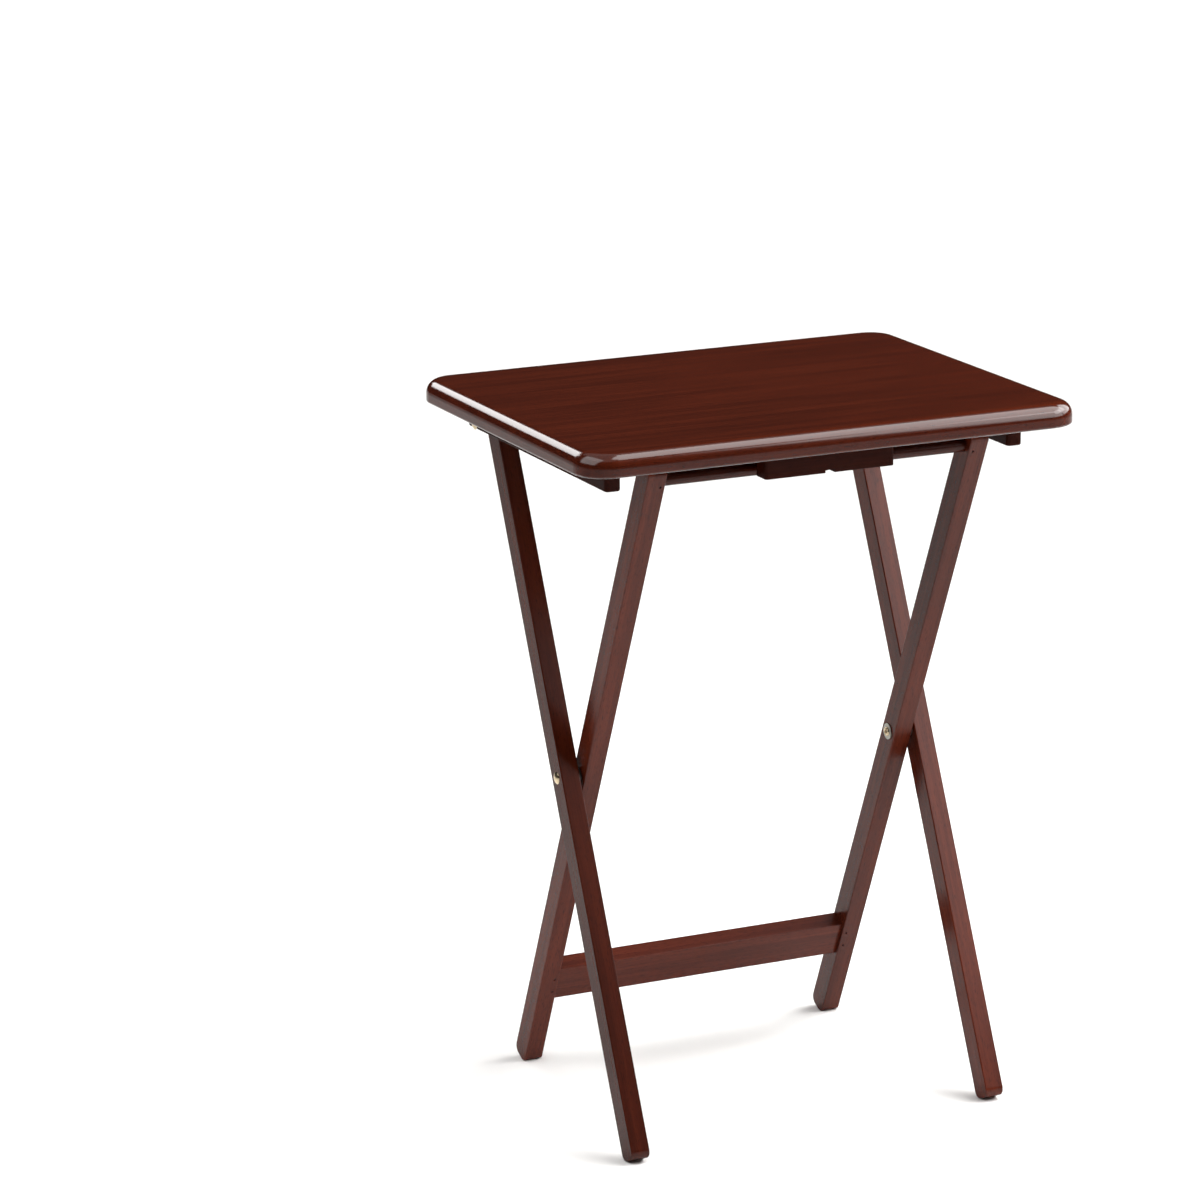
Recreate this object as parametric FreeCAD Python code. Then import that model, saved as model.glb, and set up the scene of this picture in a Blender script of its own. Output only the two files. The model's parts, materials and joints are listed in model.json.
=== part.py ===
"""Folding tray table, standing open.

A scissor of four flat legs carries a rounded rectangular top. The outer pair of legs is
hinged to two battens under the rear of the top; the inner pair carries a cross dowel that
sits behind a latch block under the front of the top, and a stretcher board near the floor.

Millimetres. Origin on the floor below the middle of the top, +X along the length of the top,
-Y the front edge, +Z up.
"""
import FreeCAD, Part
import math
import os

from FreeCAD import Vector

# --- driving dimensions -------------------------------------------------------------------
TABLE_HEIGHT = 660.0            # 26 in
TOP_LENGTH = 483.0              # 19 in, along X
TOP_DEPTH = 381.0               # 15 in, along Y
TOP_THICKNESS = 20.6
TOP_CORNER_RADIUS = 30.0        # in plan
TOP_EDGE_RADIUS = 12.5          # upper edge, all round
TOP_LOWER_EDGE_RADIUS = 2.0

LEG_THICKNESS = 18.0            # along X
LEG_WIDTH = 23.0
LEG_HALF_LENGTH = 349.2         # scissor pivot to either end
LEG_END_RADIUS = 7.5            # the two corners of each end
LEG_EASE = 1.0                  # softened long edges
LEG_LEAN = math.radians(24.75)  # from upright, when open
OUTER_LEG_X = 179.8             # middle of an outer leg
INNER_LEG_X = 157.8             # middle of an inner leg
PIVOT_Y = 2.6
PIN_REACH = 332.0               # scissor pivot to the top hinge, and to the cross dowel

BATTEN_WIDTH = 15.0
BATTEN_HEIGHT = 23.0
BATTEN_FRONT_Y = -145.0
BATTEN_REAR_Y = 158.0
BATTEN_CORNER_RADIUS = 4.0
BATTEN_EDGE_RADIUS = 1.5        # lower edge, all round
BATTEN_SCREW_YS = (-112.0, -8.0, 96.0)
BATTEN_TO_LEG = 0.5

BLOCK_LENGTH = 126.0
BLOCK_HEIGHT = 22.0
BLOCK_DEPTH = 20.0
BLOCK_FRONT_Y = -168.5
BLOCK_CORNER_RADIUS = 3.0
BLOCK_EDGE_RADIUS = 1.0         # lower edge, all round
BLOCK_SCREW_X = 41.0
GROOVE_WIDTH = 9.5
GROOVE_DEPTH = 2.8

DOWEL_DIAMETER = 12.7           # 1/2 in
DOWEL_SEAT = 12.0               # how far the dowel goes into each inner leg
DOWEL_CHAMFER = 0.8

STRETCHER_WIDTH = 37.0
STRETCHER_THICKNESS = 18.0
STRETCHER_REACH = 254.0         # pivot to the middle of the board, down the leg
STRETCHER_SETBACK = 4.0         # behind the front faces of the inner legs
TENON_THICKNESS = 9.0
TENON_WIDTH = 27.0
TENON_LENGTH = 12.0

RIVET_SHANK = 6.0               # diameters
RIVET_HEAD = 11.5
RIVET_HEAD_RISE = 2.2
RIVET_TAIL = 8.6
RIVET_TAIL_RISE = 1.5
RIVET_BORE = 3.3                # the tube that is rolled over at the tail
RIVET_BORE_DEPTH = 4.0
RIVET_BORE_POINT = 1.5
WASHER_DIAMETER = 15.0
WASHER_THICKNESS = 1.2
RIM_EASE = 0.25                 # softened rims of washers and spacers
SPACER_DIAMETER = 14.0
SPACER_THICKNESS = 3.6

BRAD_DIAMETER = 1.6
BRAD_HEAD = 2.2
BRAD_HEAD_THICKNESS = 0.9
BRAD_LENGTH = 19.0
BRAD_POINT = 2.0
BRAD_SINK = 0.8                 # head below the face of the leg
BRAD_X = 153.2
STRETCHER_BRAD_REACHES = (244.0, 259.5)

SCREW_SHANK = 3.6
SCREW_HEAD = 7.2
SCREW_HEAD_HEIGHT = 2.6
SCREW_BITE = 12.0               # into the top
SCREW_POINT = 3.0
SCREW_CROWN = 0.84              # flat of a pan head, in head diameters
SCREW_CROWN_HEIGHT = 0.45       # rounded part of a pan head, in head heights
RECESS_SPAN = 0.55              # in head diameters
RECESS_DEPTH = 0.5              # in head heights
RECESS_SLOT = 0.22              # in recess spans
COUNTERBORE = 9.0
COUNTERBORE_DEPTH = 8.0

CATCH_WIDTH = 8.0
CATCH_THICKNESS = 0.8
CATCH_TAB_LENGTH = 15.0
CATCH_SCREW_HEAD = 5.6
CATCH_SCREW_HEAD_HEIGHT = 1.6
CATCH_SCREW_LENGTH = 10.0
CATCH_BEND_RADIUS = 1.6
CATCH_LIFT = 0.2                # middle of its seat above the middle of the dowel

FIT = 0.05                      # radial clearance of a pin in its hole
FACE_GAP = 0.15                 # between a rivet head or washer and the wood that turns on it
CATCH_GAP = 0.4                 # between the catch and the dowel
OVERCUT = 1.0                   # how far a cutting shape stands past a face
FLAT_ENOUGH = 1e-4              # an edge this near to a plane or a line lies on it

# --- worked out from them -----------------------------------------------------------------
SIN_LEAN = math.sin(LEG_LEAN)
COS_LEAN = math.cos(LEG_LEAN)
UNDERSIDE_Z = TABLE_HEIGHT - TOP_THICKNESS
PIVOT_Z = ((LEG_HALF_LENGTH - LEG_END_RADIUS) * COS_LEAN
           + (LEG_WIDTH / 2 - LEG_END_RADIUS) * SIN_LEAN + LEG_END_RADIUS)
PIN_Z = PIVOT_Z + PIN_REACH * COS_LEAN
HINGE_Y = PIVOT_Y + PIN_REACH * SIN_LEAN
DOWEL_Y = PIVOT_Y - PIN_REACH * SIN_LEAN
OUTER_LEG_OUTSIDE = OUTER_LEG_X + LEG_THICKNESS / 2
OUTER_LEG_INSIDE = OUTER_LEG_X - LEG_THICKNESS / 2
INNER_LEG_INSIDE = INNER_LEG_X - LEG_THICKNESS / 2
BATTEN_INSIDE = OUTER_LEG_OUTSIDE + BATTEN_TO_LEG
BATTEN_OUTSIDE = BATTEN_INSIDE + BATTEN_WIDTH
BATTEN_X = BATTEN_INSIDE + BATTEN_WIDTH / 2
BATTEN_BOTTOM_Z = UNDERSIDE_Z - BATTEN_HEIGHT
BLOCK_BOTTOM_Z = UNDERSIDE_Z - BLOCK_HEIGHT
BLOCK_REAR_Y = BLOCK_FRONT_Y + BLOCK_DEPTH
BLOCK_MIDDLE_Y = BLOCK_FRONT_Y + BLOCK_DEPTH / 2
SIDES = {"left": -1, "right": 1}
ALONG_X = Vector(1, 0, 0)
UP = Vector(0, 0, 1)


# --- helpers ------------------------------------------------------------------------------
def box(low, high):
    """A box between two opposite corners."""
    size = Vector(*high) - Vector(*low)
    return Part.makeBox(size.x, size.y, size.z, Vector(*low))


def rod(diameter, start, direction, length):
    return Part.makeCylinder(diameter / 2, length, Vector(*start), Vector(*direction))


def rounded_rectangle(length, width, radius):
    """A face in the XY plane, centred on the origin, with four round corners."""
    half_x = length / 2
    half_y = width / 2
    bulge = radius * (1 - math.sqrt(0.5))
    edges = []
    for sign_x, sign_y in ((1, 1), (-1, 1), (-1, -1), (1, -1)):
        side = Vector(sign_x * half_x, sign_y * (half_y - radius), 0)
        end = Vector(sign_x * (half_x - radius), sign_y * half_y, 0)
        middle = Vector(sign_x * (half_x - bulge), sign_y * (half_y - bulge), 0)
        first, last = (side, end) if sign_x * sign_y > 0 else (end, side)
        if edges:
            edges.append(Part.LineSegment(corner_end, first).toShape())
        else:
            outline_start = first
        edges.append(Part.Arc(first, middle, last).toShape())
        corner_end = last
    edges.append(Part.LineSegment(corner_end, outline_start).toShape())
    return Part.Face(Part.Wire(edges))


def edges_at_height(shape, height):
    """The edges of a shape that lie flat at one height."""
    return [edge for edge in shape.Edges
            if abs(edge.BoundBox.ZMin - height) < FLAT_ENOUGH
            and abs(edge.BoundBox.ZMax - height) < FLAT_ENOUGH]


def upright_edges(shape):
    """The straight edges of a shape that run along Z."""
    return [edge for edge in shape.Edges
            if edge.BoundBox.XLength < FLAT_ENOUGH and edge.BoundBox.YLength < FLAT_ENOUGH]


def turned(points, start, direction):
    """A solid of revolution: (distance along the axis, radius) points, axis from start."""
    axis = Vector(*direction)
    profile = [Vector(radius, 0, along) for along, radius in points]
    face = Part.Face(Part.makePolygon(profile + [profile[0]]))
    solid = face.revolve(Vector(0, 0, 0), UP, 360)
    solid.Placement = FreeCAD.Placement(Vector(*start), FreeCAD.Rotation(UP, axis))
    return solid


def lean_forward(shape):
    """Tip a shape made upright round the pivot, so that its top end goes to the front."""
    tipped = shape.copy()
    tipped.rotate(Vector(0, PIVOT_Y, PIVOT_Z), ALONG_X, math.degrees(LEG_LEAN))
    return tipped


def lean_back(shape):
    """Tip a shape made upright round the pivot, so that its top end goes to the rear."""
    tipped = shape.copy()
    tipped.rotate(Vector(0, PIVOT_Y, PIVOT_Z), ALONG_X, -math.degrees(LEG_LEAN))
    return tipped


def domed_head(diameter, rise, start, direction):
    """A spherical cap that stands on its flat face at start."""
    radius = ((diameter / 2) ** 2 + rise ** 2) / (2 * rise)
    axis = Vector(*direction)
    ball = Part.makeSphere(radius, Vector(*start) - axis * (radius - rise))
    return ball.common(rod(diameter + OVERCUT, start, direction, rise + OVERCUT))


# --- fasteners ----------------------------------------------------------------------------
def cross_recess(start, direction, span, depth):
    """The cross-shaped recess of a screw head, cut from start into the head."""
    width = span * RECESS_SLOT
    arm = Part.makeBox(span, width, depth, Vector(-span / 2, -width / 2, 0))
    other_arm = Part.makeBox(width, span, depth, Vector(-width / 2, -span / 2, 0))
    cross = arm.fuse(other_arm)
    cross.Placement = FreeCAD.Placement(Vector(*start), FreeCAD.Rotation(UP, Vector(*direction)))
    return cross


def wood_screw(x, y, seat_z, length, head=SCREW_HEAD, head_height=SCREW_HEAD_HEIGHT):
    """A pan-head screw driven upwards, with its head below seat_z."""
    shank_radius = SCREW_SHANK / 2
    tip = head_height + length
    body = turned([(0, 0), (0, head / 2 * SCREW_CROWN),
                   (head_height * SCREW_CROWN_HEIGHT, head / 2),
                   (head_height, head / 2), (head_height, shank_radius),
                   (tip - SCREW_POINT, shank_radius), (tip, 0)],
                  (x, y, seat_z - head_height), (0, 0, 1))
    return body.cut(cross_recess((x, y, seat_z - head_height), (0, 0, 1),
                                 head * RECESS_SPAN, head_height * RECESS_DEPTH))


def screw_hole(x, y, bottom_z, seat_z, top_z):
    """Counterbore from bottom_z up to seat_z, then a clearance hole up to top_z."""
    bore = rod(COUNTERBORE, (x, y, bottom_z - OVERCUT), (0, 0, 1), seat_z - bottom_z + OVERCUT)
    return bore.fuse(rod(SCREW_SHANK + 2 * FIT, (x, y, seat_z), (0, 0, 1), top_z - seat_z))


def tubular_rivet(side, head_face, tail_face, y, z):
    """Round-head rivet along X: head outboard of head_face, tail rolled over inside tail_face."""
    inward = -side
    grip = head_face - tail_face
    head = domed_head(RIVET_HEAD, RIVET_HEAD_RISE, (side * head_face, y, z), (side, 0, 0))
    shank_radius = RIVET_SHANK / 2
    bore_radius = RIVET_BORE / 2
    roll = (RIVET_TAIL / 2 - bore_radius) / 2
    rolled_lip = [(grip + RIVET_TAIL_RISE * math.sin(math.radians(turn)),
                   bore_radius + roll * (1 + math.cos(math.radians(turn))))
                  for turn in (0, 30, 60, 90, 120, 150)]
    shank = turned([(0, 0), (0, shank_radius), (grip, shank_radius)] + rolled_lip
                   + [(grip, bore_radius), (grip - RIVET_BORE_DEPTH, bore_radius),
                      (grip - RIVET_BORE_DEPTH - RIVET_BORE_POINT, 0)],
                   (side * head_face, y, z), (inward, 0, 0))
    return head.fuse(shank).removeSplitter()


def ring(outside, thickness, face_x, other_x, y, z):
    """A washer or spacer round a rivet, between two faces across X, with softened rims."""
    hole = RIVET_SHANK / 2 + FIT
    return turned([(0, hole), (0, outside / 2 - RIM_EASE), (RIM_EASE, outside / 2),
                   (thickness - RIM_EASE, outside / 2), (thickness, outside / 2 - RIM_EASE),
                   (thickness, hole)],
                  (min(face_x, other_x), y, z), (1, 0, 0))


def brad(x, reach):
    """A headed nail driven square into the front face of an upright inner leg."""
    face_y = PIVOT_Y - LEG_WIDTH / 2
    z = PIVOT_Z - reach
    head = rod(BRAD_HEAD, (x, face_y + BRAD_SINK, z), (0, 1, 0), BRAD_HEAD_THICKNESS)
    nail = turned([(0, 0), (0, BRAD_DIAMETER / 2), (BRAD_LENGTH - BRAD_POINT, BRAD_DIAMETER / 2),
                   (BRAD_LENGTH, 0)], (x, face_y + BRAD_SINK, z), (0, 1, 0))
    return head.fuse(nail)


def brad_hole(x, reach):
    """The hole that a brad leaves: its head's width down to the head, then its own width."""
    face_y = PIVOT_Y - LEG_WIDTH / 2
    z = PIVOT_Z - reach
    mouth = rod(BRAD_HEAD + 2 * FIT, (x, face_y - OVERCUT, z), (0, 1, 0),
                OVERCUT + BRAD_SINK + BRAD_HEAD_THICKNESS + FIT)
    shaft = rod(BRAD_DIAMETER + 2 * FIT, (x, face_y, z), (0, 1, 0), BRAD_SINK + BRAD_LENGTH + FIT)
    return mouth.fuse(shaft)


# --- the top ------------------------------------------------------------------------------
def tabletop():
    board = rounded_rectangle(TOP_LENGTH, TOP_DEPTH, TOP_CORNER_RADIUS).extrude(
        Vector(0, 0, TOP_THICKNESS))
    board.translate(Vector(0, 0, UNDERSIDE_Z))
    board = board.makeFillet(TOP_EDGE_RADIUS, edges_at_height(board, TABLE_HEIGHT))
    board = board.makeFillet(TOP_LOWER_EDGE_RADIUS, edges_at_height(board, UNDERSIDE_Z))
    for x, y in top_screw_places():
        board = board.cut(rod(SCREW_SHANK + 2 * FIT, (x, y, UNDERSIDE_Z - OVERCUT), (0, 0, 1),
                              OVERCUT + SCREW_BITE + FIT))
    return board


def batten_screw_places():
    return [(side * BATTEN_X, y) for side in SIDES.values() for y in BATTEN_SCREW_YS]


def block_screw_places():
    return [(side * BLOCK_SCREW_X, BLOCK_MIDDLE_Y) for side in SIDES.values()]


def top_screw_places():
    return batten_screw_places() + block_screw_places()


def batten(side):
    """Strip under one end of the top, outboard of the outer leg that is hinged to it."""
    length = BATTEN_REAR_Y - BATTEN_FRONT_Y
    strip = rounded_rectangle(BATTEN_WIDTH, length, BATTEN_CORNER_RADIUS).extrude(
        Vector(0, 0, BATTEN_HEIGHT))
    middle_y = (BATTEN_FRONT_Y + BATTEN_REAR_Y) / 2
    strip.translate(Vector(side * BATTEN_X, middle_y, BATTEN_BOTTOM_Z))
    strip = strip.makeFillet(BATTEN_EDGE_RADIUS, edges_at_height(strip, BATTEN_BOTTOM_Z))
    strip = strip.cut(rod(RIVET_SHANK + 2 * FIT,
                          (side * (BATTEN_INSIDE - OVERCUT), HINGE_Y, PIN_Z),
                          (side, 0, 0), BATTEN_WIDTH + 2 * OVERCUT))
    for x, y in batten_screw_places():
        if x * side > 0:
            strip = strip.cut(screw_hole(x, y, BATTEN_BOTTOM_Z,
                                         BATTEN_BOTTOM_Z + COUNTERBORE_DEPTH,
                                         UNDERSIDE_Z + OVERCUT))
    return strip


def latch_block():
    """Block under the front edge, in front of the cross dowel, grooved for the catch."""
    block = box((-BLOCK_LENGTH / 2, BLOCK_FRONT_Y, BLOCK_BOTTOM_Z),
                (BLOCK_LENGTH / 2, BLOCK_REAR_Y, UNDERSIDE_Z))
    block = block.makeFillet(BLOCK_CORNER_RADIUS, upright_edges(block))
    block = block.makeFillet(BLOCK_EDGE_RADIUS, edges_at_height(block, BLOCK_BOTTOM_Z))
    groove = box((-GROOVE_WIDTH / 2, BLOCK_FRONT_Y - OVERCUT, BLOCK_BOTTOM_Z - OVERCUT),
                 (GROOVE_WIDTH / 2, BLOCK_REAR_Y + OVERCUT, BLOCK_BOTTOM_Z + GROOVE_DEPTH))
    block = block.cut(groove)
    for x, y in block_screw_places():
        block = block.cut(screw_hole(x, y, BLOCK_BOTTOM_Z,
                                     BLOCK_BOTTOM_Z + COUNTERBORE_DEPTH,
                                     UNDERSIDE_Z + OVERCUT))
    return block.cut(rod(SCREW_SHANK + 2 * FIT,
                         (0, BLOCK_MIDDLE_Y, BLOCK_BOTTOM_Z), (0, 0, 1),
                         GROOVE_DEPTH + CATCH_SCREW_LENGTH + FIT))


def catch_spring():
    """Steel strip: a tab screwed into the groove of the block, and a seat that curls over
    the front and top of the cross dowel."""
    seat_radius = DOWEL_DIAMETER / 2 + CATCH_GAP
    groove_top = BLOCK_BOTTOM_Z + GROOVE_DEPTH
    tab_front = BLOCK_REAR_Y - CATCH_TAB_LENGTH
    seat_front = DOWEL_Y - seat_radius
    bend_start = Vector(0, seat_front - CATCH_BEND_RADIUS, groove_top - CATCH_THICKNESS)
    bend_middle = bend_start + Vector(0, CATCH_BEND_RADIUS * math.sqrt(0.5),
                                      CATCH_BEND_RADIUS * (1 - math.sqrt(0.5)))
    bend_end = bend_start + Vector(0, CATCH_BEND_RADIUS, CATCH_BEND_RADIUS)
    seat_z = PIN_Z + CATCH_LIFT
    seat_start = Vector(0, seat_front, seat_z)
    seat_middle = Vector(0, DOWEL_Y - seat_radius * math.sqrt(0.5),
                         seat_z + seat_radius * math.sqrt(0.5))
    seat_end = Vector(0, DOWEL_Y, seat_z + seat_radius)
    path = Part.Wire([
        Part.LineSegment(Vector(0, tab_front, bend_start.z), bend_start).toShape(),
        Part.Arc(bend_start, bend_middle, bend_end).toShape(),
        Part.LineSegment(bend_end, seat_start).toShape(),
        Part.Arc(seat_start, seat_middle, seat_end).toShape()])
    strip = path.makeOffset2D(-CATCH_THICKNESS, 0, True, True)
    strip.translate(Vector(-CATCH_WIDTH / 2, 0, 0))
    spring = strip.extrude(Vector(CATCH_WIDTH, 0, 0))
    return spring.cut(rod(SCREW_SHANK + 2 * FIT, (0, BLOCK_MIDDLE_Y, BLOCK_BOTTOM_Z),
                          (0, 0, 1), BLOCK_HEIGHT))


def catch_screw():
    return wood_screw(0, BLOCK_MIDDLE_Y, BLOCK_BOTTOM_Z + GROOVE_DEPTH - CATCH_THICKNESS,
                      CATCH_SCREW_LENGTH, CATCH_SCREW_HEAD, CATCH_SCREW_HEAD_HEIGHT)


# --- the legs, made upright on the pivot and then tipped ------------------------------------
def upright_leg(x):
    """A bare leg: square ends with round corners, and all the long edges softened."""
    leg = rounded_rectangle(LEG_WIDTH, 2 * LEG_HALF_LENGTH, LEG_END_RADIUS).extrude(
        Vector(0, 0, LEG_THICKNESS))
    rims = edges_at_height(leg, 0) + edges_at_height(leg, LEG_THICKNESS)
    leg = leg.makeFillet(LEG_EASE, rims)
    width_to_y_length_to_z = FreeCAD.Rotation(Vector(1, 1, 1), 120)
    leg.Placement = FreeCAD.Placement(Vector(x - LEG_THICKNESS / 2, PIVOT_Y, PIVOT_Z),
                                      width_to_y_length_to_z)
    return leg


def pin_hole(x, reach_up):
    """A running hole for a rivet through a leg, reach_up above the pivot."""
    return rod(RIVET_SHANK + 2 * FIT, (x - LEG_THICKNESS, PIVOT_Y, PIVOT_Z + reach_up),
               (1, 0, 0), 2 * LEG_THICKNESS)


def outer_leg(side):
    x = side * OUTER_LEG_X
    leg = upright_leg(x).cut(pin_hole(x, 0)).cut(pin_hole(x, PIN_REACH))
    return lean_back(leg)


def inner_leg(side):
    x = side * INNER_LEG_X
    leg = upright_leg(x).cut(pin_hole(x, 0))
    inside = side * INNER_LEG_INSIDE
    leg = leg.cut(rod(DOWEL_DIAMETER + 2 * FIT,
                      (inside - side * OVERCUT, PIVOT_Y, PIVOT_Z + PIN_REACH),
                      (side, 0, 0), OVERCUT + DOWEL_SEAT + FIT))
    leg = leg.cut(stretcher_tenon(side, FIT))
    for reach in brad_reaches():
        leg = leg.cut(brad_hole(side * BRAD_X, reach))
    return lean_forward(leg)


def brad_reaches():
    """Distances of the brads below the pivot: the one into the dowel is above it."""
    return (-PIN_REACH,) + STRETCHER_BRAD_REACHES


def stretcher_middle():
    """Where the middle of the stretcher's section is, with the legs upright."""
    front_y = PIVOT_Y - LEG_WIDTH / 2 + STRETCHER_SETBACK
    return front_y + STRETCHER_THICKNESS / 2, PIVOT_Z - STRETCHER_REACH


def stretcher_tenon(side, clearance):
    """The tenon at one end, or its mortise when clearance is added all round."""
    y, z = stretcher_middle()
    inside = side * (INNER_LEG_INSIDE - OVERCUT)
    tip = side * (INNER_LEG_INSIDE + TENON_LENGTH + clearance)
    half_y = TENON_THICKNESS / 2 + clearance
    half_z = TENON_WIDTH / 2 + clearance
    return box((min(inside, tip), y - half_y, z - half_z), (max(inside, tip), y + half_y, z + half_z))


def stretcher():
    y, z = stretcher_middle()
    board = rounded_rectangle(STRETCHER_THICKNESS, STRETCHER_WIDTH, LEG_EASE).extrude(
        Vector(0, 0, 2 * INNER_LEG_INSIDE))
    board.Placement = FreeCAD.Placement(Vector(-INNER_LEG_INSIDE, y, z),
                                        FreeCAD.Rotation(Vector(1, 1, 1), 120))
    for side in SIDES.values():
        board = board.fuse(stretcher_tenon(side, 0))
    for side in SIDES.values():
        for reach in STRETCHER_BRAD_REACHES:
            board = board.cut(brad_hole(side * BRAD_X, reach))
    return lean_forward(board.removeSplitter())


def cross_dowel():
    half_length = INNER_LEG_INSIDE + DOWEL_SEAT
    radius = DOWEL_DIAMETER / 2
    dowel = turned([(0, 0), (0, radius - DOWEL_CHAMFER), (DOWEL_CHAMFER, radius),
                    (2 * half_length - DOWEL_CHAMFER, radius),
                    (2 * half_length, radius - DOWEL_CHAMFER), (2 * half_length, 0)],
                   (-half_length, PIVOT_Y, PIVOT_Z + PIN_REACH), (1, 0, 0))
    for side in SIDES.values():
        dowel = dowel.cut(brad_hole(side * BRAD_X, -PIN_REACH))
    return lean_forward(dowel)


# --- the pins of the joints -----------------------------------------------------------------
def pivot_rivet(side):
    """Through an outer and an inner leg; its head is on the outer leg."""
    tail_face = INNER_LEG_INSIDE - WASHER_THICKNESS - FACE_GAP
    return tubular_rivet(side, OUTER_LEG_OUTSIDE, tail_face, PIVOT_Y, PIVOT_Z)


def pivot_spacer(side):
    """Ring that keeps an outer and an inner leg apart."""
    return ring(SPACER_DIAMETER, SPACER_THICKNESS, side * OUTER_LEG_INSIDE,
                side * (OUTER_LEG_INSIDE - SPACER_THICKNESS), PIVOT_Y, PIVOT_Z)


def pivot_washer(side):
    """Washer on the inside face of an inner leg, under the tail of the pivot rivet."""
    return ring(WASHER_DIAMETER, WASHER_THICKNESS, side * INNER_LEG_INSIDE,
                side * (INNER_LEG_INSIDE - WASHER_THICKNESS), PIVOT_Y, PIVOT_Z)


def hinge_rivet(side):
    """Through a batten and the upper end of an outer leg; its head is on the batten."""
    tail_face = OUTER_LEG_INSIDE - WASHER_THICKNESS
    return tubular_rivet(side, BATTEN_OUTSIDE + FACE_GAP, tail_face, HINGE_Y, PIN_Z)


def hinge_washer(side):
    """Washer on the inside face of an outer leg, under the tail of the hinge rivet."""
    return ring(WASHER_DIAMETER, WASHER_THICKNESS, side * OUTER_LEG_INSIDE,
                side * (OUTER_LEG_INSIDE - WASHER_THICKNESS), HINGE_Y, PIN_Z)


# --- every sub-part, by name ----------------------------------------------------------------
def group(shapes):
    """Identical small pieces that share one file, as separate solids."""
    return Part.makeCompound(shapes)


def both_sides(make):
    return group([make(side) for side in SIDES.values()])


def batten_screws():
    return group([wood_screw(x, y, BATTEN_BOTTOM_Z + COUNTERBORE_DEPTH,
                             UNDERSIDE_Z + SCREW_BITE - BATTEN_BOTTOM_Z - COUNTERBORE_DEPTH)
                  for x, y in batten_screw_places()])


def block_screws():
    return group([wood_screw(x, y, BLOCK_BOTTOM_Z + COUNTERBORE_DEPTH,
                             UNDERSIDE_Z + SCREW_BITE - BLOCK_BOTTOM_Z - COUNTERBORE_DEPTH)
                  for x, y in block_screw_places()])


def brads(reaches):
    return group([lean_forward(brad(side * BRAD_X, reach))
                  for side in SIDES.values() for reach in reaches])


def sub_parts():
    parts = {
        "tabletop": tabletop(),
        "batten_screws": batten_screws(),
        "latch_block": latch_block(),
        "block_screws": block_screws(),
        "catch_spring": catch_spring(),
        "catch_screw": catch_screw(),
        "cross_dowel": cross_dowel(),
        "stretcher": stretcher(),
        "dowel_brads": brads((-PIN_REACH,)),
        "stretcher_brads": brads(STRETCHER_BRAD_REACHES),
        "pivot_spacers": both_sides(pivot_spacer),
        "pivot_washers": both_sides(pivot_washer),
        "hinge_washers": both_sides(hinge_washer),
    }
    for name, side in SIDES.items():
        parts["batten_" + name] = batten(side)
        parts["outer_leg_" + name] = outer_leg(side)
        parts["inner_leg_" + name] = inner_leg(side)
        parts["pivot_rivet_" + name] = pivot_rivet(side)
        parts["hinge_rivet_" + name] = hinge_rivet(side)
    return parts


os.makedirs("parts", exist_ok=True)
for part_name, shape in sorted(sub_parts().items()):
    shape.exportStep("parts/" + part_name + ".step")
    print(part_name, "solids", len(shape.Solids), "valid", shape.isValid(),
          "volume", round(shape.Volume, 1))
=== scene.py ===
"""Looks of the folding tray table: wood, lacquer, metal, floor, light and camera.

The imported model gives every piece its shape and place. This script gives each piece the
material it is made of, with the grain laid along that piece, and sets the stage.
"""
import json
import math

import bpy
from bpy.props import FloatProperty, FloatVectorProperty, PointerProperty
from mathutils import Matrix, Vector


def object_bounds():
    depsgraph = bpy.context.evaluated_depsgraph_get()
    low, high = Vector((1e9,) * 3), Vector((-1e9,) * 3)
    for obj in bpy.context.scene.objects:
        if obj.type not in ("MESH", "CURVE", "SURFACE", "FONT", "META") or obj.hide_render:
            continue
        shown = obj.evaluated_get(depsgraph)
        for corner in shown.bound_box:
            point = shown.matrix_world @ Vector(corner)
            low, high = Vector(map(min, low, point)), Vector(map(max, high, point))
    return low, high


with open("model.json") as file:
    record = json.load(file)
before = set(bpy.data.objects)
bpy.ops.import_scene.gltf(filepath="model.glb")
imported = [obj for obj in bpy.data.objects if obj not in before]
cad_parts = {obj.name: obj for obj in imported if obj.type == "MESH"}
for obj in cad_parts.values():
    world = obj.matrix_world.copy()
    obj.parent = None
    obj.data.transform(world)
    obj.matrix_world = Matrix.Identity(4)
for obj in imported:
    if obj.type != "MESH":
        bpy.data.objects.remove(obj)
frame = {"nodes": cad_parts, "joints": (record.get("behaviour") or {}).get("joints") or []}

bl_info = {
    "name": "Folding tray table",
    "version": (1, 0, 0),
    "blender": (4, 5, 0),
    "location": "3D View > Sidebar > Tray Table",
    "description": "Wood, lacquer and metal for a folding tray table",
    "category": "Object",
}

MM = 0.001
CAD_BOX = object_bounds()
TABLE_HEIGHT = CAD_BOX[1].z - CAD_BOX[0].z
JOINT_PLACE = {joint["name"]: Vector(joint["pos_m"]) for joint in frame["joints"]}
OUTER_LEG_LINE = JOINT_PLACE["top_rise"] - JOINT_PLACE["leg_fold"]
LEG_LEAN = math.atan2(OUTER_LEG_LINE.y, OUTER_LEG_LINE.z)

# The ways in which the grain of a board runs.
LENGTHWAYS = (1, 0, 0)
DEPTHWAYS = (0, 1, 0)
UP_AND_BACK = (0, math.sin(LEG_LEAN), math.cos(LEG_LEAN))
UP_AND_FORWARD = (0, -math.sin(LEG_LEAN), math.cos(LEG_LEAN))

# Depth is the brightness of a board's stain, 1 for its full colour; a low depth on a piece that
# stands in shade is painted shade. A seed picks the stretch of grain that a board shows.
TOP_COAT, TOP_DEPTH, TOP_SEED = 1.0, 0.45, 1.7
RAIL_SEED, RAIL_SEED_STEP = 20.3, 4.1
LEG_SEED, LEG_SEED_STEP = 51.9, 6.7
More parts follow.
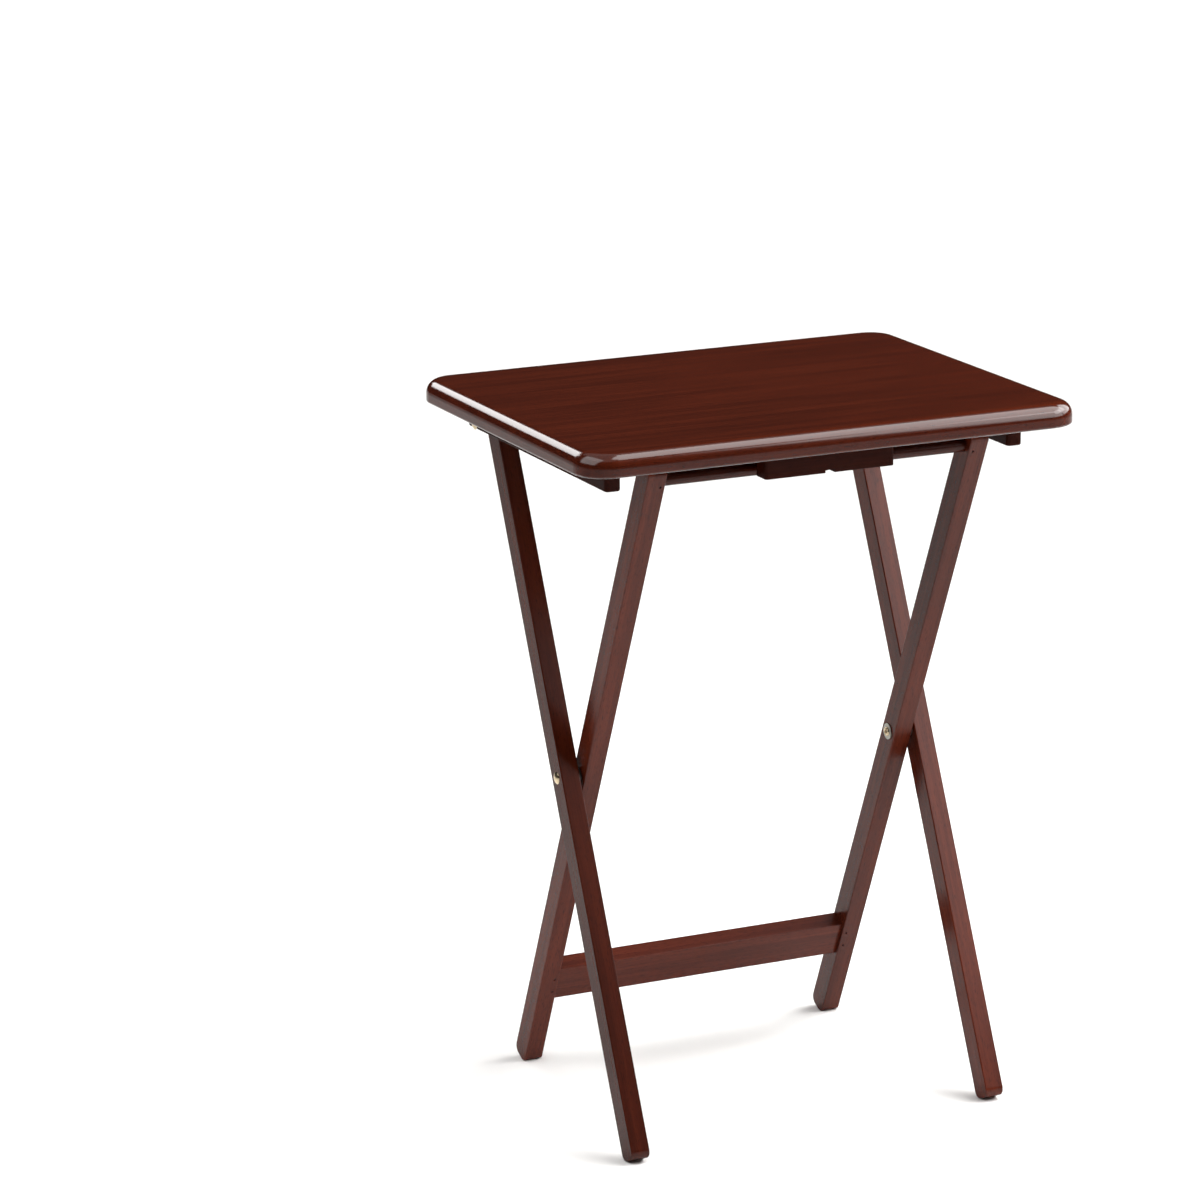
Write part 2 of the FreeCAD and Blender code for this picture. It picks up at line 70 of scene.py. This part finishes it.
# Each rail: its node, its grain, its share of the legs' coat, its depth. The battens, latch block
# and cross dowel sit in shade under the top, and their low depths are painted shade.
RAILS = (("batten_left", DEPTHWAYS, 0.4, 0.22),
         ("batten_right", DEPTHWAYS, 0.4, 0.26),
         ("latch_block", LENGTHWAYS, 0.4, 0.22),
         ("cross_dowel", LENGTHWAYS, 0.8, 0.28),
         ("stretcher", LENGTHWAYS, 1.0, 0.65))
# Each leg: its node, its grain, its depth. The outer left leg's lower depth, against the outer
# right one, is painted shade.
LEGS = (("outer_leg_left", UP_AND_BACK, 0.42), ("outer_leg_right", UP_AND_BACK, 0.68),
        ("inner_leg_left", UP_AND_FORWARD, 0.66), ("inner_leg_right", UP_AND_FORWARD, 0.58))

# Length and width of the marks in the wood and its lacquer.
STREAK_LENGTH_IN_WIDTHS = 30
FIBRE = (60 * MM, 1.1 * MM)
BLOTCH = (160 * MM, 70 * MM)
PORE_LENGTH = 6.5 * MM
COAT_RIPPLE = (5 * MM, 4 * MM)

# Sizes of the marks on metal, nylon and paint.
SCUFF = 0.6 * MM
TARNISH_CLOUD = 4 * MM
ZINC_CLOUD = 2 * MM
STAIN_DREGS = 0.5 * MM
ROLLING_LINE_WIDTH = 0.25 * MM
ROLLING_LINE_LENGTH = 8 * MM
MOULD_GRAIN = 0.4 * MM
ROLLER_MOTTLE = 120 * MM

# The stage, in metres and degrees, with the sensor in millimetres. Radiance is what a mirror
# would show of a lamp, with white at 1.
FLOOR_HALF_SIDE = 15.0
SENSOR_WIDTH = 36
CAMERA_CLIP_END = 100
LAMP_AIM = (0, 0, 0.75 * TABLE_HEIGHT)
WHOLE_BEAM = 180
OVERHEAD = (0.0, 0.0, 1.0)
CEILING_ANGLE, CEILING_RADIANCE = 80, 0.6
# Each softbox: its name, place, width, height, radiance.
SOFTBOXES = (("overhead_softbox", (1.5, -0.65, 2.6), 2.0, 2.4, 5.4),
             ("left_front_softbox", (-1.15, -0.1, 1.65), 1.5, 1.3, 3.0),
             ("left_rear_strip", (-0.6, 2.3, 1.8), 1.0, 0.75, 6.5),
             ("right_softbox", (2.0, -0.05, 1.65), 1.9, 1.4, 5.5),
             ("front_right_softbox", (1.4, -1.35, 1.5), 1.2, 1.3, 4.8))
# One lamp more, over the floor behind the table.
FAR_FLOOR = (2.4, 6.0, 0)
FAR_FLOOR_LAMP = (2.4, 6.0, 3.5)
FAR_FLOOR_LAMP_SIDE, FAR_FLOOR_RADIANCE, FAR_FLOOR_BEAM = 7.0, 1.15, 100


def linear(hex_colour):
    """An sRGB colour written #rrggbb, as linear values by the standard sRGB curve."""
    channels = [int(hex_colour[i:i + 2], 16) / 255 for i in (1, 3, 5)]
    return tuple(c / 12.92 if c <= 0.04045 else ((c + 0.055) / 1.055) ** 2.4 for c in channels)


def opaque(colour, share=1):
    """The colour with full alpha, at the given share of its brightness."""
    return tuple(channel * share for channel in colour) + (1,)


# --- sizes and colours that a user would change ---------------------------------------------
class TrayTableWood(bpy.types.PropertyGroup):
    """Colours and figure of the stained wood."""
    stain: FloatVectorProperty(
        name="Stain", description="Colour of the stained wood between its darker streaks",
        subtype="COLOR", size=3, min=0, max=1, default=linear("#722d18"))
    streak: FloatVectorProperty(
        name="Streak", description="Colour of the darker streaks, which take more stain",
        subtype="COLOR", size=3, min=0, max=1, default=linear("#602413"))
    pore: FloatVectorProperty(
        name="Pore", description="Colour of the pores, filled with stain",
        subtype="COLOR", size=3, min=0, max=1, default=linear("#240c07"))
    streak_width: FloatProperty(
        name="Streak width", description="Width of a growth streak across the grain",
        subtype="DISTANCE", unit="LENGTH", min=0.001, max=0.1, default=9 * MM)
    pore_width: FloatProperty(
        name="Pore width", description="Width of a pore; real ones are 0.2 mm, drawn coarser to show",
        subtype="DISTANCE", unit="LENGTH", min=0.0001, max=0.01, default=0.55 * MM)
    top_roughness: FloatProperty(
        name="Top lacquer", description="Roughness of the lacquer on the top",
        subtype="FACTOR", min=0, max=1, default=0.13)
    leg_coat: FloatProperty(
        name="Leg coat", description="How full the lacquer on the legs and rails is",
        subtype="FACTOR", min=0, max=1, default=0.45)
    leg_roughness: FloatProperty(
        name="Leg lacquer", description="Roughness of the lacquer on the legs and rails",
        subtype="FACTOR", min=0, max=1, default=0.24)


class TrayTableMetal(bpy.types.PropertyGroup):
    """Colours of the rivets, washers, screws and catch."""
    brass: FloatVectorProperty(
        name="Brass", description="Colour of the plated rivets",
        subtype="COLOR", size=3, min=0, max=1, default=linear("#d8c5a4"))
    zinc: FloatVectorProperty(
        name="Zinc", description="Colour of washers and screws",
        subtype="COLOR", size=3, min=0, max=1, default=linear("#a9a69c"))
    nickel: FloatVectorProperty(
        name="Nickel", description="Colour of the spring strip of the catch",
        subtype="COLOR", size=3, min=0, max=1, default=linear("#c9c4b8"))
    brad: FloatVectorProperty(
        name="Brads", description="Colour of the brads, stained over with the wood",
        subtype="COLOR", size=3, min=0, max=1, default=linear("#2c1b16"))
    nylon: FloatVectorProperty(
        name="Nylon", description="Colour of the spacers between the legs",
        subtype="COLOR", size=3, min=0, max=1, default=linear("#2b2622"))


class TrayTableStage(bpy.types.PropertyGroup):
    """Camera, floor and light."""
    focal_length: FloatProperty(
        name="Focal length", description="Lens length for a 36 mm wide sensor",
        subtype="DISTANCE_CAMERA", min=10, max=500, default=140.97)
    heading: FloatProperty(
        name="Heading", description="Where the camera looks, from +Y towards +X",
        subtype="ANGLE", unit="ROTATION", default=math.radians(24.34))
    downward: FloatProperty(
        name="Downward tilt", description="How far below the horizon the camera looks",
        subtype="ANGLE", unit="ROTATION", default=math.radians(14.63))
    roll: FloatProperty(
        name="Roll", description="Turn of the camera about its line of sight",
        subtype="ANGLE", unit="ROTATION", default=math.radians(-0.63))
    camera_place: FloatVectorProperty(
        name="Camera", description="Place of the camera",
        subtype="TRANSLATION", unit="LENGTH", size=3, default=(-1.8253, -3.7142, 1.5451))
    floor: FloatVectorProperty(
        name="Floor", description="Colour of the floor",
        subtype="COLOR", size=3, min=0, max=1, default=linear("#f6f5f3"))
    surroundings: FloatProperty(
        name="Surroundings", description="Brightness of the room behind the lamps",
        min=0, max=5, default=0.015)


# --- shader nodes ---------------------------------------------------------------------------
def add_node(tree, kind, settings=None, **links):
    """Add a node, set its properties and sockets, and link each named socket to another's output.

    settings holds node properties and, by socket name or index, the values of sockets. A link
    gives the output socket; spaces in a socket's name are written as underscores.
    """
    node = tree.nodes.new(kind)
    for key, value in (settings or {}).items():
        if isinstance(key, int) or key in node.inputs:
            node.inputs[key].default_value = value
        else:
            setattr(node, key, value)
    for name, output in links.items():
        key = int(name[1:]) if name[0] == "_" else name.replace("_", " ")
        tree.links.new(output, node.inputs[key])
    return node


def new_material(name):
    """Start a material. Gives the material, its node tree and the place on the piece."""
    material = bpy.data.materials.new(name)
    material.use_nodes = True
    tree = material.node_tree
    tree.nodes.clear()
    return material, tree, add_node(tree, "ShaderNodeTexCoord").outputs["Object"]


def finish_material(tree, surface, settings, **links):
    """The surface shader and the output node that end every material here."""
    shader = add_node(tree, surface, settings, **links)
    add_node(tree, "ShaderNodeOutputMaterial", Surface=shader.outputs[0])


def grain_marks(tree, along_grain, length, width, seed, detail=2, distortion=0):
    """A pattern drawn out along the grain: each mark about length long and width across."""
    stretched = add_node(tree, "ShaderNodeVectorMath",
                         {"operation": "MULTIPLY_ADD", 1: (1 / length, 1 / width, 1 / width),
                          2: (seed, -seed, seed / 2)}, _0=along_grain)
    noise = add_node(tree, "ShaderNodeTexNoise",
                     {"Scale": 1, "Detail": detail, "Roughness": 0.55, "Distortion": distortion},
                     Vector=stretched.outputs["Vector"])
    return noise.outputs["Fac"]


# --- wood -----------------------------------------------------------------------------------
def stained_wood(name, grain, seed, coat_weight, roughness, depth_and_shade=1.0):
    """Rubberwood, planed and sanded, wiped with a dark red walnut stain and sprayed with lacquer.

    The eye sees long soft streaks along the grain, short dark pore dashes that show as dots on
    end grain, slow changes of colour where the stain took unevenly, and over it all a clear
    coat that mirrors lamps with soft edges. The depth darkens or lightens one piece of wood
    against its neighbours, partly as boards differ and partly as painted shade on pieces that
    stand in shade.
    """
    wood = bpy.context.scene.tray_table_wood
    material, tree, place = new_material(name)
    turn = Vector(grain).rotation_difference(Vector(LENGTHWAYS)).to_euler()
    along_grain = add_node(tree, "ShaderNodeMapping", {"Rotation": turn}, Vector=place)
    along_grain = along_grain.outputs["Vector"]

    width = wood.streak_width
    figure = grain_marks(tree, along_grain, STREAK_LENGTH_IN_WIDTHS * width, width, seed,
                         detail=3, distortion=0.6)
    fibre = grain_marks(tree, along_grain, *FIBRE, seed + 3)
    blotch = grain_marks(tree, along_grain, *BLOTCH, seed + 5)
    pores = grain_marks(tree, along_grain, PORE_LENGTH, wood.pore_width, seed + 7, detail=1)

    # The stain is scaled by the piece's depth, which on shaded pieces is painted shade.
    stain = opaque(wood.stain, depth_and_shade)
    streak = opaque(wood.streak, depth_and_shade)
    stain_share = add_node(tree, "ShaderNodeMapRange", {"From Min": 0.36, "From Max": 0.62},
                           Value=figure)
    streaked = add_node(tree, "ShaderNodeMix", {"data_type": "RGBA", 6: streak, 7: stain},
                        _0=stain_share.outputs[0])
    fibre_shade = add_node(tree, "ShaderNodeMapRange",
                           {"From Min": 0.3, "From Max": 0.7, "To Min": 0.78}, Value=fibre)
    blotch_shade = add_node(tree, "ShaderNodeMapRange",
                            {"From Min": 0.3, "From Max": 0.7, "To Min": 0.8}, Value=blotch)
    shade = add_node(tree, "ShaderNodeMath", {"operation": "MULTIPLY"},
                     _0=fibre_shade.outputs[0], _1=blotch_shade.outputs[0])
    shaded = add_node(tree, "ShaderNodeVectorMath", {"operation": "SCALE"},
                      _0=streaked.outputs[2], Scale=shade.outputs[0])
    pore_mask = add_node(tree, "ShaderNodeMapRange", {"From Min": 0.6, "From Max": 0.7},
                         Value=pores)
    pore_share = add_node(tree, "ShaderNodeMath", {"operation": "MULTIPLY", 1: 0.75},
                          _0=pore_mask.outputs[0])
    colour = add_node(tree, "ShaderNodeMix", {"data_type": "RGBA", 7: opaque(wood.pore)},
                      _0=pore_share.outputs[0], _6=shaded.outputs[0])

    sheen = add_node(tree, "ShaderNodeMapRange", {"To Min": 0.36, "To Max": 0.52}, Value=fibre)
    hollow = add_node(tree, "ShaderNodeBump", {"Strength": 0.35, "Distance": 0.04 * MM,
                                               "invert": True}, Height=pore_mask.outputs[0])
    orange_peel = grain_marks(tree, along_grain, *COAT_RIPPLE, seed + 11, detail=1)
    coat = add_node(tree, "ShaderNodeBump", {"Strength": 0.05, "Distance": 0.03 * MM},
                    Height=orange_peel)
    finish_material(tree, "ShaderNodeBsdfPrincipled",
                    {"IOR": 1.5, "Specular IOR Level": 0.0, "Coat Weight": coat_weight,
                     "Coat Roughness": roughness, "Coat IOR": 1.47},
                    Base_Color=colour.outputs[2], Roughness=sheen.outputs[0],
                    Normal=hollow.outputs[0], Coat_Normal=coat.outputs[0])
    return material


# --- metal and nylon ------------------------------------------------------------------------
def plated_brass(name):
    """Brass-plated steel, headed in a die and tumbled.

    A warm bright dome with fine random scuffs that soften its reflections a little.
    """
    metal = bpy.context.scene.tray_table_metal
    material, tree, place = new_material(name)
    scuffs = add_node(tree, "ShaderNodeTexNoise", {"Scale": 1 / SCUFF, "Detail": 3},
                      Vector=place).outputs["Fac"]
    tarnish = add_node(tree, "ShaderNodeTexNoise", {"Scale": 1 / TARNISH_CLOUD, "Detail": 2},
                       Vector=place).outputs["Fac"]
    bright = opaque(metal.brass)
    dull = opaque(metal.brass, share=0.6)
    dull_share = add_node(tree, "ShaderNodeMapRange", {"From Min": 0.35, "From Max": 0.75},
                          Value=tarnish)
    colour = add_node(tree, "ShaderNodeMix", {"data_type": "RGBA", 6: bright, 7: dull},
                      _0=dull_share.outputs[0])
    roughness = add_node(tree, "ShaderNodeMapRange", {"To Min": 0.14, "To Max": 0.34},
                         Value=scuffs)
    bump = add_node(tree, "ShaderNodeBump", {"Strength": 0.2, "Distance": 0.02 * MM},
                    Height=scuffs)
    finish_material(tree, "ShaderNodeBsdfPrincipled", {"Metallic": 1.0},
                    Base_Color=colour.outputs[2],
                    Roughness=roughness.outputs[0], Normal=bump.outputs[0])
    return material


def zinc_plate(name):
    """Steel, stamped or headed, then zinc plated in a barrel.

    A greyish metal with a faint cloudy mottle and blurred reflections.
    """
    metal = bpy.context.scene.tray_table_metal
    material, tree, place = new_material(name)
    clouds = add_node(tree, "ShaderNodeTexNoise", {"Scale": 1 / ZINC_CLOUD, "Detail": 3},
                      Vector=place).outputs["Fac"]
    bright = opaque(metal.zinc)
    dull = opaque(metal.zinc, share=0.55)
    dull_share = add_node(tree, "ShaderNodeMapRange", {"From Min": 0.3, "From Max": 0.7},
                          Value=clouds)
    colour = add_node(tree, "ShaderNodeMix", {"data_type": "RGBA", 6: bright, 7: dull},
                      _0=dull_share.outputs[0])
    roughness = add_node(tree, "ShaderNodeMapRange", {"To Min": 0.28, "To Max": 0.5},
                         Value=clouds)
    bump = add_node(tree, "ShaderNodeBump", {"Strength": 0.25, "Distance": 0.02 * MM},
                    Height=clouds)
    finish_material(tree, "ShaderNodeBsdfPrincipled", {"Metallic": 1.0},
                    Base_Color=colour.outputs[2],
                    Roughness=roughness.outputs[0], Normal=bump.outputs[0])
    return material


def stained_over_wire(name):
    """Steel wire brads, driven below the surface and wiped over with the stain.

    Small dark dots, dull where the stain dried in the recess.
    """
    metal = bpy.context.scene.tray_table_metal
    material, tree, place = new_material(name)
    dregs = add_node(tree, "ShaderNodeTexNoise", {"Scale": 1 / STAIN_DREGS, "Detail": 2},
                     Vector=place).outputs["Fac"]
    bare = opaque(metal.brad)
    stained = opaque(metal.brad, share=0.5)
    colour = add_node(tree, "ShaderNodeMix", {"data_type": "RGBA", 6: bare, 7: stained},
                      _0=dregs)
    bump = add_node(tree, "ShaderNodeBump", {"Strength": 0.3, "Distance": 0.03 * MM},
                    Height=dregs)
    finish_material(tree, "ShaderNodeBsdfPrincipled", {"Metallic": 1.0, "Roughness": 0.5},
                    Base_Color=colour.outputs[2], Normal=bump.outputs[0])
    return material


def rolled_spring_strip(name):
    """Spring steel strip, cold rolled and nickel plated.

    Bright, with fine rolling lines that run the length of the strip.
    """
    metal = bpy.context.scene.tray_table_metal
    material, tree, place = new_material(name)
    lines_per_metre = (1 / ROLLING_LINE_WIDTH, 1 / ROLLING_LINE_LENGTH, 1 / ROLLING_LINE_LENGTH)
    lines = add_node(tree, "ShaderNodeVectorMath",
                     {"operation": "MULTIPLY", 1: lines_per_metre}, _0=place)
    marks = add_node(tree, "ShaderNodeTexNoise", {"Scale": 1, "Detail": 2},
                     Vector=lines.outputs["Vector"]).outputs["Fac"]
    bright = opaque(metal.nickel)
    dull = opaque(metal.nickel, share=0.7)
    dull_share = add_node(tree, "ShaderNodeMapRange", {"From Min": 0.3, "From Max": 0.7},
                          Value=marks)
    colour = add_node(tree, "ShaderNodeMix", {"data_type": "RGBA", 6: bright, 7: dull},
                      _0=dull_share.outputs[0])
    roughness = add_node(tree, "ShaderNodeMapRange", {"To Min": 0.16, "To Max": 0.36},
                         Value=marks)
    bump = add_node(tree, "ShaderNodeBump", {"Strength": 0.3, "Distance": 0.01 * MM},
                    Height=marks)
    finish_material(tree, "ShaderNodeBsdfPrincipled", {"Metallic": 1.0},
                    Base_Color=colour.outputs[2],
                    Roughness=roughness.outputs[0], Normal=bump.outputs[0])
    return material


def moulded_nylon(name):
    """Dark nylon, injection moulded.

    A dull near-black with a fine grain from the mould.
    """
    metal = bpy.context.scene.tray_table_metal
    material, tree, place = new_material(name)
    grain = add_node(tree, "ShaderNodeTexNoise", {"Scale": 1 / MOULD_GRAIN, "Detail": 2},
                     Vector=place).outputs["Fac"]
    base = opaque(metal.nylon)
    worn = opaque(metal.nylon, share=1.6)
    worn_share = add_node(tree, "ShaderNodeMapRange", {"From Min": 0.35, "From Max": 0.8},
                          Value=grain)
    colour = add_node(tree, "ShaderNodeMix", {"data_type": "RGBA", 6: base, 7: worn},
                      _0=worn_share.outputs[0])
    bump = add_node(tree, "ShaderNodeBump", {"Strength": 0.3, "Distance": 0.03 * MM},
                    Height=grain)
    finish_material(tree, "ShaderNodeBsdfPrincipled", {"IOR": 1.53, "Roughness": 0.5},
                    Base_Color=colour.outputs[2], Normal=bump.outputs[0])
    return material


def dress(node_name, material):
    """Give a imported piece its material."""
    for slot in frame["nodes"][node_name].material_slots:
        slot.material = material


# --- one operator for each piece or group of like pieces --------------------------------------
class TRAYTABLE_OT_top(bpy.types.Operator):
    """Stain and lacquer the top board, grain along its length"""
    bl_idname = "traytable.top"
    bl_label = "Top"

    def execute(self, context):
        roughness = context.scene.tray_table_wood.top_roughness
        dress("tabletop", stained_wood("rubberwood_lacquered_top", LENGTHWAYS, TOP_SEED,
                                       TOP_COAT, roughness, TOP_DEPTH))
        return {"FINISHED"}


class TRAYTABLE_OT_rails(bpy.types.Operator):
    """Stain and lacquer the battens, latch block, cross dowel and stretcher"""
    bl_idname = "traytable.rails"
    bl_label = "Battens, block, dowel and stretcher"

    def execute(self, context):
        wood = context.scene.tray_table_wood
        for number, (node_name, grain, coat_share, depth_and_shade) in enumerate(RAILS):
            material = stained_wood("rubberwood_lacquered_" + node_name, grain,
                                    RAIL_SEED + RAIL_SEED_STEP * number,
                                    coat_share * wood.leg_coat, wood.leg_roughness, depth_and_shade)
            dress(node_name, material)
        return {"FINISHED"}


class TRAYTABLE_OT_legs(bpy.types.Operator):
    """Stain and lacquer the four legs, grain along each leg"""
    bl_idname = "traytable.legs"
    bl_label = "Legs"

    def execute(self, context):
        wood = context.scene.tray_table_wood
        for number, (node_name, grain, depth_and_shade) in enumerate(LEGS):
            material = stained_wood("rubberwood_lacquered_" + node_name, grain,
                                    LEG_SEED + LEG_SEED_STEP * number, wood.leg_coat,
                                    wood.leg_roughness, depth_and_shade)
            dress(node_name, material)
        return {"FINISHED"}


class TRAYTABLE_OT_rivets(bpy.types.Operator):
    """Plate the scissor rivets and the hinge rivets"""
    bl_idname = "traytable.rivets"
    bl_label = "Rivets"

    def execute(self, context):
        material = plated_brass("brass_plate_tumbled")
        for place in ("pivot", "hinge"):
            for side in ("left", "right"):
                dress(f"{place}_rivet_{side}", material)
        return {"FINISHED"}


class TRAYTABLE_OT_fasteners(bpy.types.Operator):
    """Plate the washers and screws, and stain over the brads"""
    bl_idname = "traytable.fasteners"
    bl_label = "Washers, screws and brads"

    def execute(self, context):
        material = zinc_plate("steel_zinc_barrel_plated")
        for node_name in ("pivot_washers", "hinge_washers", "batten_screws", "block_screws",
                          "catch_screw"):
            dress(node_name, material)
        material = stained_over_wire("steel_wire_stained_over")
        for node_name in ("dowel_brads", "stretcher_brads"):
            dress(node_name, material)
        return {"FINISHED"}


class TRAYTABLE_OT_catch(bpy.types.Operator):
    """Plate the spring strip that holds the cross dowel"""
    bl_idname = "traytable.catch"
    bl_label = "Catch"

    def execute(self, context):
        dress("catch_spring", rolled_spring_strip("spring_steel_nickel_plated"))
        return {"FINISHED"}


class TRAYTABLE_OT_spacers(bpy.types.Operator):
    """Give the spacers between the legs their nylon"""
    bl_idname = "traytable.spacers"
    bl_label = "Spacers"

    def execute(self, context):
        dress("pivot_spacers", moulded_nylon("nylon_moulded_dark"))
        return {"FINISHED"}


# --- stage ----------------------------------------------------------------------------------
def painted_floor(name, colour):
    """Smooth painted studio floor: pale and matt, with a barely visible roller mottle."""
    material, tree, place = new_material(name)
    mottle = add_node(tree, "ShaderNodeTexNoise", {"Scale": 1 / ROLLER_MOTTLE, "Detail": 2},
                      Vector=place).outputs["Fac"]
    base = opaque(colour)
    worn = opaque(colour, share=0.985)
    shade = add_node(tree, "ShaderNodeMix", {"data_type": "RGBA", 6: base, 7: worn}, _0=mottle)
    finish_material(tree, "ShaderNodeBsdfPrincipled", {"IOR": 1.45, "Roughness": 0.75},
                    Base_Color=shade.outputs[2])
    return material


def add_floor(colour):
    """The floor: one flat square sheet round the table."""
    half = FLOOR_HALF_SIDE
    mesh = bpy.data.meshes.new("floor")
    corners = [(-half, -half, 0), (half, -half, 0), (half, half, 0), (-half, half, 0)]
    mesh.from_pydata(corners, [], [(0, 1, 2, 3)])
    mesh.materials.append(painted_floor("floor_paint_matt", colour))
    floor = bpy.data.objects.new("floor", mesh)
    bpy.context.scene.collection.objects.link(floor)


def add_softbox(name, place, width, height, radiance, aim=LAMP_AIM, spread=WHOLE_BEAM):
    """A rectangular lamp that faces a point. spread narrows its beam, in degrees."""
    lamp = bpy.data.lights.new(name, "AREA")
    lamp.shape = "RECTANGLE"
    lamp.size = width
    lamp.size_y = height
    lamp.spread = math.radians(spread)
    lamp.energy = radiance * math.pi * width * height
    holder = bpy.data.objects.new(name, lamp)
    bpy.context.scene.collection.objects.link(holder)
    holder.location = place
    holder.rotation_euler = (Vector(place) - Vector(aim)).to_track_quat("Z", "Y").to_euler()


def add_panel(name, direction, spread, radiance):
    """A round lamp so far away that it lights the whole floor evenly.

    spread is the angle across it as seen from the table, in degrees.
    """
    lamp = bpy.data.lights.new(name, "SUN")
    lamp.angle = math.radians(spread)
    lamp.energy = radiance * math.pi * math.sin(lamp.angle / 2) ** 2
    holder = bpy.data.objects.new(name, lamp)
    bpy.context.scene.collection.objects.link(holder)
    holder.rotation_euler = Vector(direction).to_track_quat("Z", "Y").to_euler()


def add_camera(stage):
    """The camera, turned by its heading, then its tilt, then its roll."""
    camera = bpy.data.cameras.new("camera")
    camera.lens = stage.focal_length
    camera.sensor_width = SENSOR_WIDTH
    camera.clip_end = CAMERA_CLIP_END
    holder = bpy.data.objects.new("camera", camera)
    bpy.context.scene.collection.objects.link(holder)
    turn = (Matrix.Rotation(-stage.heading, 4, "Z")
            @ Matrix.Rotation(math.pi / 2 - stage.downward, 4, "X")
            @ Matrix.Rotation(stage.roll, 4, "Z"))
    holder.matrix_world = Matrix.Translation(stage.camera_place) @ turn
    bpy.context.scene.camera = holder


class TRAYTABLE_OT_stage(bpy.types.Operator):
    """Lay the floor, hang the lamps and place the camera"""
    bl_idname = "traytable.stage"
    bl_label = "Stage"

    def execute(self, context):
        stage = context.scene.tray_table_stage
        add_floor(stage.floor)
        add_panel("ceiling_panel", OVERHEAD, CEILING_ANGLE, CEILING_RADIANCE)
        for softbox in SOFTBOXES:
            add_softbox(*softbox)
        add_softbox("far_floor_softbox", FAR_FLOOR_LAMP, FAR_FLOOR_LAMP_SIDE, FAR_FLOOR_LAMP_SIDE,
                    FAR_FLOOR_RADIANCE, aim=FAR_FLOOR, spread=FAR_FLOOR_BEAM)
        world = bpy.data.worlds.new("studio")
        world.use_nodes = True
        background = world.node_tree.nodes["Background"]
        background.inputs["Color"].default_value = opaque((1, 1, 1))
        background.inputs["Strength"].default_value = stage.surroundings
        context.scene.world = world
        context.scene.view_settings.view_transform = "Standard"
        add_camera(stage)
        return {"FINISHED"}


# --- panel, registration and the run ----------------------------------------------------------
STEPS = (TRAYTABLE_OT_top, TRAYTABLE_OT_rails, TRAYTABLE_OT_legs, TRAYTABLE_OT_rivets,
         TRAYTABLE_OT_fasteners, TRAYTABLE_OT_catch, TRAYTABLE_OT_spacers, TRAYTABLE_OT_stage)
SETTINGS = {"tray_table_wood": TrayTableWood, "tray_table_metal": TrayTableMetal,
            "tray_table_stage": TrayTableStage}


class TRAYTABLE_PT_panel(bpy.types.Panel):
    """Settings and steps of the tray table"""
    bl_idname = "TRAYTABLE_PT_panel"
    bl_label = "Folding tray table"
    bl_space_type = "VIEW_3D"
    bl_region_type = "UI"
    bl_category = "Tray Table"

    def draw(self, context):
        for name, group in SETTINGS.items():
            box = self.layout.box()
            for setting in group.__annotations__:
                box.prop(getattr(context.scene, name), setting)
        for step in STEPS:
            self.layout.operator(step.bl_idname)


def register():
    for group in SETTINGS.values():
        bpy.utils.register_class(group)
    for name, group in SETTINGS.items():
        setattr(bpy.types.Scene, name, PointerProperty(type=group))
    for cls in STEPS + (TRAYTABLE_PT_panel,):
        bpy.utils.register_class(cls)


def unregister():
    for cls in reversed(STEPS + (TRAYTABLE_PT_panel,)):
        bpy.utils.unregister_class(cls)
    for name in SETTINGS:
        delattr(bpy.types.Scene, name)
    for group in reversed(SETTINGS.values()):
        bpy.utils.unregister_class(group)


def main():
    register()
    bpy.ops.traytable.top()
    bpy.ops.traytable.rails()
    bpy.ops.traytable.legs()
    bpy.ops.traytable.rivets()
    bpy.ops.traytable.fasteners()
    bpy.ops.traytable.catch()
    bpy.ops.traytable.spacers()
    bpy.ops.traytable.stage()


if __name__ == "__main__":
    main()
